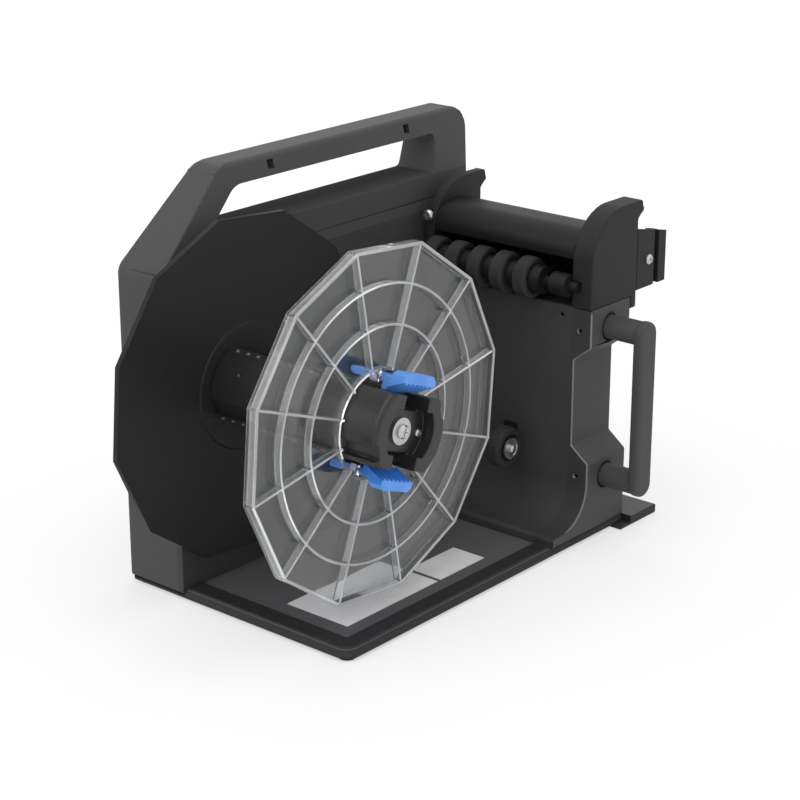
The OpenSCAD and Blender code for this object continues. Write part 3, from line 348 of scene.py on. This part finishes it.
# Painted light: the handle bar's top face is lightened where the lamps above fall on it.
lit_bar_top = ({"z": (0.303, 0.308), "facing_z": LOOKS_UP}, ((71, 71, 71), (83, 83, 83)))
# Painted shade on the inner cover's face above the flange.
shaded_panel_top = ({"x": (-0.08, -0.07), "z": (0.1, SILL_Z)}, ((41, 40, 40), (49, 48, 48)))
# Painted shade: the end cap's faces that do not look along X are darkened like the shaded wall.
shaded_cap_front = ({"x": CAP_X, "facing_x": (-0.3, 0.3)}, ((48, 47, 47), (57, 56, 56)))
# Painted highlight along the end cap's rounded front edge.
highlit_cap_edge = ({"x": CAP_X, "facing_x": (0.3, 0.93), "facing_y": (-1, -0.2)},
            ((110, 109, 109), (124, 123, 123)))
# Painted light: the tray floor is lightened against the shade the housing and flanges cast on it.
lit_tray_floor = ({"z": (TRAY_Z - TRAY_EDGE, TRAY_Z + TRAY_EDGE)}, ((78, 78, 80), (90, 90, 92)))
# Painted shade on every black face that does not look along X: the flange's rim and the guide plate.
shaded_flange_edge = ({"facing_x": (-0.7, 0.7)}, ((11, 11, 10), (16, 16, 15)))
# Painted glints on the mandrel's notch faces that look towards +X.
notch_glint = ({"x": (-0.06, 0.045), "facing_x": (0.8, 1.1)}, ((112, 112, 112), (140, 140, 140)))
print("sill at", SILL_Z, "m, tray floor at", TRAY_Z, "m")

# %% Moulded greys
finishes = {
    "housing_grey": moulded("housing_grey_moulding", ((62, 62, 62), (73, 73, 73)),
                            patches=(shade_under_sill, lit_bar_top, shaded_cap_front, highlit_cap_edge), dull=shaded_sill),
    "panel_grey": moulded("panel_grey_moulding", ((52, 51, 51), (62, 61, 61)),
                          patches=(shaded_panel_top,)),
    "guide_grey": moulded("guide_grey_moulding", ((28, 27, 27), (35, 34, 34))),
    "base_grey": moulded("base_grey_moulding", ((35, 35, 37), (42, 42, 44)), patches=(lit_tray_floor,)),
    "black_plastic": moulded("black_smooth_moulding", ((20, 20, 20), (27, 27, 27)),
                             grain=0.3, gloss=0.42, sheen=0.2),
    "flange_black": moulded("flange_black_moulding", ((30, 30, 30), (38, 38, 37)),
                            grain=0.3, gloss=0.38, sheen=0.25, patches=(shaded_flange_edge,)),
    "core_black": moulded("core_black_moulding", ((30, 30, 29), (38, 38, 37)),
                          grain=0.05, gloss=0.26, sheen=0.45, patches=(notch_glint,)),
}
print("moulded finishes:", ", ".join(finishes))

# %% [markdown]
# The sliding flange is clear polycarbonate. Real clear mouldings are never quite clear: they have
# a grey cast, faint flow marks and a film of fine scratches that softens the reflections. So the
# shader lets light through and bends it, and noise in the roughness draws the scratches. A thin
# white share all over gives the milky cast. A clear rib shows as two bright lines where it catches
# the light, at its top and its foot, with clear sides between: a white shader laid over the clear
# one paints these highlights there and at the back of the rim, found along X.

# %% Clear polycarbonate
clear = Finish("clear_polycarbonate", Transmission_Weight=1.0, IOR=1.5, Specular_IOR_Level=0.5)
haze = clear.spread(clear.noise(25, 4), 0.35, 0.75)
scratch = clear.spread(clear.noise(320, 2, (1, 0.15, 1)), 0.45, 0.8)
clear.wear(Base_Color=clear.blend(haze, (0.93, 0.94, 0.95, 1), (0.86, 0.88, 0.89, 1)))
clear.wear(Roughness=0.03 + 0.05 * haze + 0.05 * scratch)
clear.wear(Normal=clear.bump(haze, 0.0002, 0.2))
print("clear finish:", clear.material.name)

# %% Painted highlights on the clear ribs
WEB_BACK = 0.0575
WEB_FRONT = 0.0602
RIB_TOP = 0.0656
FLANGE_END = 0.07
LINE = 0.0008

rib_top = clear.inside(x=(RIB_TOP, FLANGE_END))
rib_side = clear.inside(x=(WEB_FRONT, FLANGE_END))
rib_foot = clear.inside(x=(WEB_FRONT, WEB_FRONT + LINE))
rim_back = clear.inside(x=(0, WEB_BACK + LINE), facing_x=(-0.5, 0.5))
# A thin white share all over is the milky cast; the rest paints highlights on the ribs and rim.
milk_and_painted_highlights = 0.014 + 0.04 * rib_side + 0.2 * rib_foot + 0.34 * rib_top + 0.2 * rim_back
clear.over(milk_and_painted_highlights * (0.8 + 0.4 * haze), Base_Color=(0.9, 0.91, 0.92, 1), Roughness=0.4)
finishes["clear_plastic"] = clear.material
print("rib lines", LINE * 1000, "mm wide")

# %% [markdown]
# What the operator touches is blue: a satin moulding. The upward faces of the lower lever, where
# its ribs are, take a deeper blue: painted shade for the mandrel's shadow on them. The tone drifts
# slowly and the grain is finer than on the housing.

# %% Satin blue
SPINDLE_Z = 0.152

blue = Finish("satin_blue_moulding", Specular_IOR_Level=0.4)
drift = blue.spread(blue.noise(60, 2), 0.3, 0.7)
satin = blue.noise(2200, 2)
lever_blue = blue.blend(drift, seen(84, 143, 226), seen(102, 159, 235))
shaded_blue = blue.blend(drift, seen(44, 112, 206), seen(58, 126, 216))
# Painted shade on the lower lever's upward faces, under the mandrel.
shaded_ribbed_face = blue.inside(z=(0, SPINDLE_Z), facing_z=(0.3, 1.1))
blue.wear(Base_Color=blue.blend(shaded_ribbed_face, lever_blue, shaded_blue))
blue.wear(Roughness=0.36 + 0.1 * drift + 0.08 * satin)
blue.wear(Normal=blue.bump(satin, 0.00008, 0.3))
finishes["blue_plastic"] = blue.material
print("blue finish:", blue.material.name)

# %% [markdown]
# The rollers and the idler's tyre are ground grey rubber, and the feet are black. Rubber scatters
# light, so it has hardly any gloss. The wheels are ground on a lathe, which leaves fine rings
# round them: a noise that is squeezed along the axle draws those.

# %% Rubber
def rubber(name, dark, light):
    """Ground rubber between a dark and a light screen level, with fine rings round X."""
    finish = Finish(name, Specular_IOR_Level=0.2)
    dust = finish.spread(finish.noise(70, 4), 0.35, 0.7)
    rings = finish.noise(700, 2, (3, 0.2, 0.2))
    finish.wear(Base_Color=finish.blend(dust * 0.7 + rings * 0.3, seen(*dark), seen(*light)))
    finish.wear(Roughness=0.72 + 0.14 * dust)
    finish.wear(Normal=finish.bump(rings + 0.4 * dust, 0.00012, 0.35))
    return finish.material


finishes["roller_rubber"] = rubber("ground_grey_rubber", (41, 41, 43), (54, 54, 56))
finishes["foot_rubber"] = rubber("black_foot_rubber", (26, 26, 26), (36, 36, 36))
print("rubber finishes: wheels and feet")

# %% [markdown]
# Screws and washers are zinc plated, and shafts and drive plates are plain steel. Both are metal
# in the shader: cloudy, with fine lines from the tool. Steel is darker with finer lines, and brass
# is the same with a warmer colour, so one function makes all three.

# %% Metals
def metal(name, dull, bright, gloss, line_scale):
    """A cloudy metal between a dull and a bright colour, with fine lines along X."""
    finish = Finish(name, Metallic=1.0)
    cloud = finish.spread(finish.noise(130, 3), 0.3, 0.7)
    lines = finish.noise(line_scale, 2, (0.2, 1, 1))
    finish.wear(Base_Color=finish.blend(cloud * 0.6 + lines * 0.4, dull, bright))
    finish.wear(Roughness=gloss + 0.16 * lines + 0.08 * cloud)
    finish.wear(Normal=finish.bump(lines, 0.00006, 0.25))
    return finish.material


finishes["zinc"] = metal("zinc_plating", (0.42, 0.42, 0.43, 1), (0.62, 0.62, 0.63, 1), 0.24, 900)
finishes["steel"] = metal("turned_steel", (0.38, 0.38, 0.39, 1), (0.52, 0.52, 0.53, 1), 0.28, 1400)
finishes["brass"] = metal("cut_brass", (0.52, 0.36, 0.12, 1), (0.68, 0.5, 0.2, 1), 0.26, 1200)
print("metal finishes: zinc, steel, brass")

# %% [markdown]
# Inside the housing are an acetal gear and a green circuit board, and on the tray lie two sheets
# of grey film, with the soft mottle of worn film on them.

# %% Gear, board and sheets
acetal = Finish("natural_acetal", Roughness=0.4)
acetal_tone = acetal.spread(acetal.noise(80, 2), 0.3, 0.7)
acetal.wear(Base_Color=acetal.blend(acetal_tone, seen(214, 208, 190), seen(226, 221, 206)))
finishes["gear_plastic"] = acetal.material

green = Finish("green_circuit_board", Roughness=0.35)
tracks = green.noise(420, 0, (1, 1, 0.15)) > 0.54
green.wear(Base_Color=green.blend(tracks, seen(20, 74, 40), seen(38, 104, 58)))
green.wear(Normal=green.bump(tracks, 0.00005, 0.4))
finishes["board_green"] = green.material

film = Finish("bare_grey_film", Specular_IOR_Level=0.35)
film_mottle = film.spread(film.noise(45, 4), 0.35, 0.7)
film_rub = film.noise(500, 2, (1, 0.3, 1))
film_tone = film_mottle * 0.6 + film_rub * 0.4
film.wear(Base_Color=film.blend(film_tone, seen(212, 212, 214), seen(232, 232, 233)))
film.wear(Roughness=0.38 + 0.2 * film_mottle)
film.wear(Normal=film.bump(film_rub, 0.00005, 0.3))
finishes["sheet_white"] = film.material
print("finishes in all:", len(finishes))

# %% [markdown]
# Now each solid gets the finish of its slot. The record names the slot of every node, so the
# finishes are handed out from it, and nothing is left in its plain colour.

# %% Hand out the finishes
slot_of = {}
for part in frame["record"]["subparts"]:
    slot_of[part["node"]] = part["material_slot"]
for name, solid in solids.items():
    for holder in solid.material_slots:
        holder.material = finishes[slot_of[name]]
print("finished", len(slot_of), "nodes")

# %% [markdown]
# A mould never leaves a knife edge: each edge of a real moulding is rounded, and that thin round
# catches the light and draws the object's outline. The solids have sharp edges, which is right for
# measuring. A copy of each of the main mouldings is therefore welded, its triangles are paired into
# quads where they are flat, and its sharp edges are rounded with a Bevel. Where two mouldings meet
# in a seam, or where a small recess leaves no room, the edges stay sharp. A Bevel can push a point
# out where many edges meet, so each point is held inside the solid's box. Weighted normals then
# keep the flat faces flat right up to the round.

# %% Standing in for a solid
body_of_node = {}
for body, members in frame["record"]["behaviour"]["bodies"].items():
    for member in members:
        body_of_node[member] = body


def dress(piece, name):
    """Lets a piece stand for a solid: it rides on the same body, and the solid is hidden."""
    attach(piece, body_of_node[name])
    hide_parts(name)


def apply(piece, kind, **settings):
    """Adds a modifier to the active piece and applies it."""
    modifier = piece.modifiers.new(kind.lower(), kind)
    for key, value in settings.items():
        setattr(modifier, key, value)
    bpy.ops.object.modifier_apply(modifier=modifier.name)


# %% Rounding a copy
WELD = 0.00001
FLAT_ANGLE = math.radians(0.4)
SHARP_ANGLE = math.radians(32)
NEAR = 0.00003
ROUND_STEPS = 2
FLAT_WEIGHT = 90


def stays_sharp(ends, zones):
    """Whether both ends of an edge lie in a zone, which gives a lowest and highest place by axis."""
    for zone in zones:
        if all(low - NEAR < end["xyz".index(axis)] < high + NEAR for end in ends
               for axis, (low, high) in zone.items()):
            return True
    return False


def rounded_copy(name, radius, zones):
    """A copy of a moulding with its sharp edges rounded, which stands for the solid."""
    piece = bpy.data.objects.new(name + "_rounded", solids[name].data.copy())
    bpy.context.scene.collection.objects.link(piece)
    bpy.ops.object.select_all(action="DESELECT")
    piece.select_set(True)
    bpy.context.view_layer.objects.active = piece
    bpy.ops.object.mode_set(mode="EDIT")
    bpy.ops.mesh.select_mode(type="EDGE")
    bpy.ops.mesh.select_all(action="SELECT")
    bpy.ops.mesh.remove_doubles(threshold=WELD)
    bpy.ops.mesh.tris_convert_to_quads(face_threshold=FLAT_ANGLE, shape_threshold=math.pi)
    bpy.ops.mesh.select_all(action="DESELECT")
    bpy.ops.mesh.edges_select_sharp(sharpness=SHARP_ANGLE)
    bpy.ops.object.mode_set(mode="OBJECT")
    bpy.ops.object.shade_smooth()
    shares = piece.data.attributes.new("bevel_weight_edge", "FLOAT", "EDGE")
    for edge in piece.data.edges:
        if edge.select:
            ends = [piece.data.vertices[index].co for index in edge.vertices]
            edge.use_edge_sharp = stays_sharp(ends, zones)
            shares.data[edge.index].value = 0.0 if edge.use_edge_sharp else 1.0
    apply(piece, "BEVEL", width=radius, segments=ROUND_STEPS, limit_method="WEIGHT",
          use_clamp_overlap=False)
    low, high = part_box(name)
    for vertex in piece.data.vertices:
        vertex.co = [min(max(value, low[axis]), high[axis]) for axis, value in enumerate(vertex.co)]
    apply(piece, "WEIGHTED_NORMAL", weight=FLAT_WEIGHT, keep_sharp=True)
    dress(piece, name)
    return piece


print("edges over", round(math.degrees(SHARP_ANGLE)), "degrees are rounded in", ROUND_STEPS, "steps")

# %% Where edges stay sharp
HANDLE_SEAM = {"x": (-0.1135, -0.1135)}
COVER_SEAM = {"x": (-0.0765, -0.0765)}
SPLIT = {"z": (0.2435, 0.2443)}
CARRY_GAP = {"y": (-0.1, 0.2), "z": (0.26, 0.3025)}
CAP_SEAM = {"x": (CAP_X[0], CAP_X[0])}
WALL_FOOT = {"y": (0.07, 0.1), "z": (0, 0.03)}
EAR_ROOT = {"x": (-0.0715, -0.0690), "y": (0.118, 0.127), "z": (0.224, 0.240)}
TRAY_CORNER = {"x": (0.087, 0.095), "y": (0.170, 0.179)}
print("seams, a gap and tight corners stay sharp")

# %% Rounded mouldings
edge_rounds = {
    "outer_cover": (0.0012, (HANDLE_SEAM, COVER_SEAM, SPLIT, CARRY_GAP)),
    "handle_cover": (0.0012, (HANDLE_SEAM, SPLIT, CARRY_GAP)),
    "inner_cover": (0.0005, (COVER_SEAM, SPLIT)),
    "wall_shell": (0.0008, (CAP_SEAM, WALL_FOOT)),
    "wall_end_cap": (0.0015, (CAP_SEAM, WALL_FOOT)),
    "right_guide_ear": (0.0010, ()),
    "left_guide_ear": (0.0006, (EAR_ROOT,)),
    "guide_plate": (0.0004, ()),
    "base_tray": (0.0004, (TRAY_CORNER,)),
    "docking_plate": (0.0004, ()),
    "docking_bracket": (0.0003, ()),
    "inner_flange": (0.0003, ()),
    "core_mandrel": (0.0007, ()),
    "outer_flange": (0.0003, ()),
    "upper_lever": (0.0005, ()),
    "lower_lever": (0.0005, ()),
}
for name, (radius, zones) in edge_rounds.items():
    piece = rounded_copy(name, radius, zones)
    print(piece.name, len(piece.data.polygons), "faces, edges rounded by", radius * 1000, "mm")

# %% [markdown]
# The split between the handle cover and the cover below it is a dark line on the inner side and at
# the back. At the front the two meet closely, so the front lower corners of the handle cover come
# down there.

# %% Close the front of the split
SPLIT_FRONT_Y = -0.14
SPLIT_CLOSE = 0.0008

handle_cover = bpy.data.objects["handle_cover_rounded"]
lowered = 0
for vertex in handle_cover.data.vertices:
    if vertex.co.y < SPLIT_FRONT_Y and abs(vertex.co.z - SPLIT["z"][1]) < NEAR:
        vertex.co.z -= SPLIT_CLOSE
        lowered += 1
print("lowered", lowered, "points of the handle cover by", SPLIT_CLOSE * 1000, "mm")

# %% [markdown]
# The pull handle on the wall's end is one casting: two round roots run into a flat bar with round
# ends, and every meeting is blended. Sharp solids can be joined, but a Bevel cannot blend where a
# round root meets a flat bar. So the roots and the bar are made as cylinders, the bar's lower half
# is drawn down to the second root, the three are joined, and a voxel Remesh makes one skin of them,
# which a Smooth modifier then blends.

# %% Pull handle roots and bar
ROOT_R = 0.0095
BAR_DEPTH = 0.0095
ROOT_INSET = 0.0105
ROUND_SIDES = 64

handle_low, handle_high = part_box("pull_handle")
bar_y = (handle_low.y + handle_high.y) / 2
bar_half = (handle_high.y - handle_low.y) / 2
low_root = handle_low.z + ROOT_INSET
high_root = handle_high.z - ROOT_INSET


def x_cylinder(radius, x0, x1, z):
    """A cylinder along X at a height, in the middle of the handle's depth."""
    bpy.ops.object.select_all(action="DESELECT")
    bpy.ops.mesh.primitive_cylinder_add(vertices=ROUND_SIDES, radius=radius, depth=x1 - x0,
                                        location=((x0 + x1) / 2, bar_y, z),
                                        rotation=(0, math.pi / 2, 0))
    bpy.ops.object.transform_apply(location=True, rotation=True, scale=True)
    return bpy.context.object


root_end = handle_high.x - BAR_DEPTH / 2
roots = [x_cylinder(ROOT_R, handle_low.x, root_end, z) for z in (low_root, high_root)]
bar = x_cylinder(bar_half, handle_high.x - BAR_DEPTH, handle_high.x, high_root)
bpy.ops.object.mode_set(mode="EDIT")
bpy.ops.mesh.select_mode(type="VERT")
bpy.ops.mesh.select_all(action="DESELECT")
bpy.ops.object.mode_set(mode="OBJECT")
for vertex in bar.data.vertices:
    vertex.select = vertex.co.z < high_root - WELD
bpy.ops.object.mode_set(mode="EDIT")
bpy.ops.transform.translate(value=(0, 0, low_root - high_root))
bpy.ops.mesh.select_all(action="SELECT")
bpy.ops.object.mode_set(mode="OBJECT")
print("roots", round((high_root - low_root) * 1000, 1), "mm apart")

# %% Pull handle skin
BAR_ROUND = 0.003
BAR_STEPS = 4
SKIN = 0.0006
BLEND_PASSES = 8

apply(bar, "BEVEL", width=BAR_ROUND, segments=BAR_STEPS, limit_method="ANGLE", angle_limit=SHARP_ANGLE)
for root in roots:
    root.select_set(True)
bpy.ops.object.join()
bar.name = "pull_handle_blended"
apply(bar, "REMESH", mode="VOXEL", voxel_size=SKIN)
apply(bar, "SMOOTH", factor=0.5, iterations=BLEND_PASSES)
bpy.ops.object.shade_smooth()
bar.data.materials.append(finishes[slot_of["pull_handle"]])
dress(bar, "pull_handle")
print(bar.name, len(bar.data.polygons), "faces")
